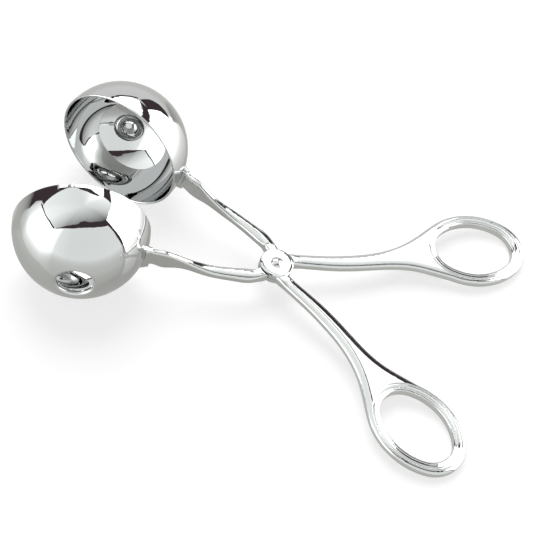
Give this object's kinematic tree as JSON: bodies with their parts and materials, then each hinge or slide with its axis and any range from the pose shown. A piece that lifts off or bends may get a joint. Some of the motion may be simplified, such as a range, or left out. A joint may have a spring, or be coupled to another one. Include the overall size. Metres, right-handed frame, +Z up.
{
  "type": "meatball tongs",
  "caption": "Scissor tongs with two hollow round bowls that close to a ball, a lapped and riveted pivot, and finger rings.",
  "frame": {"origin": "middle of the bounding box, on the surface that the tongs lie on", "axes": "+X along the tongs from the bowls to the finger rings, +Y across them towards the rear bowl, +Z up; rest is the open pose that lies on the bowls and the ends of the rings"},
  "size_m": [0.1656, 0.1098, 0.046],
  "materials": {
    "lever_metal": "polished chrome plate over a casting, soft flow marks in the surface",
    "bowl_metal": "mirror-polished pressed sheet",
    "rivet_metal": "polished"
  },
  "bodies": {
    "lower_half": {"lower_lever": "lever_metal", "front_bowl": "bowl_metal", "pivot_rivet": "rivet_metal"},
    "upper_half": {"upper_lever": "lever_metal", "rear_bowl": "bowl_metal"}
  },
  "joints": [
    {"name": "pivot", "type": "hinge", "parent": "lower_half", "child": "upper_half", "pos_m": [0.00305, 0, 0.01192], "axis": [0.1261, 0, 0.992], "range_deg": [-25, 30.2]}
  ]
}
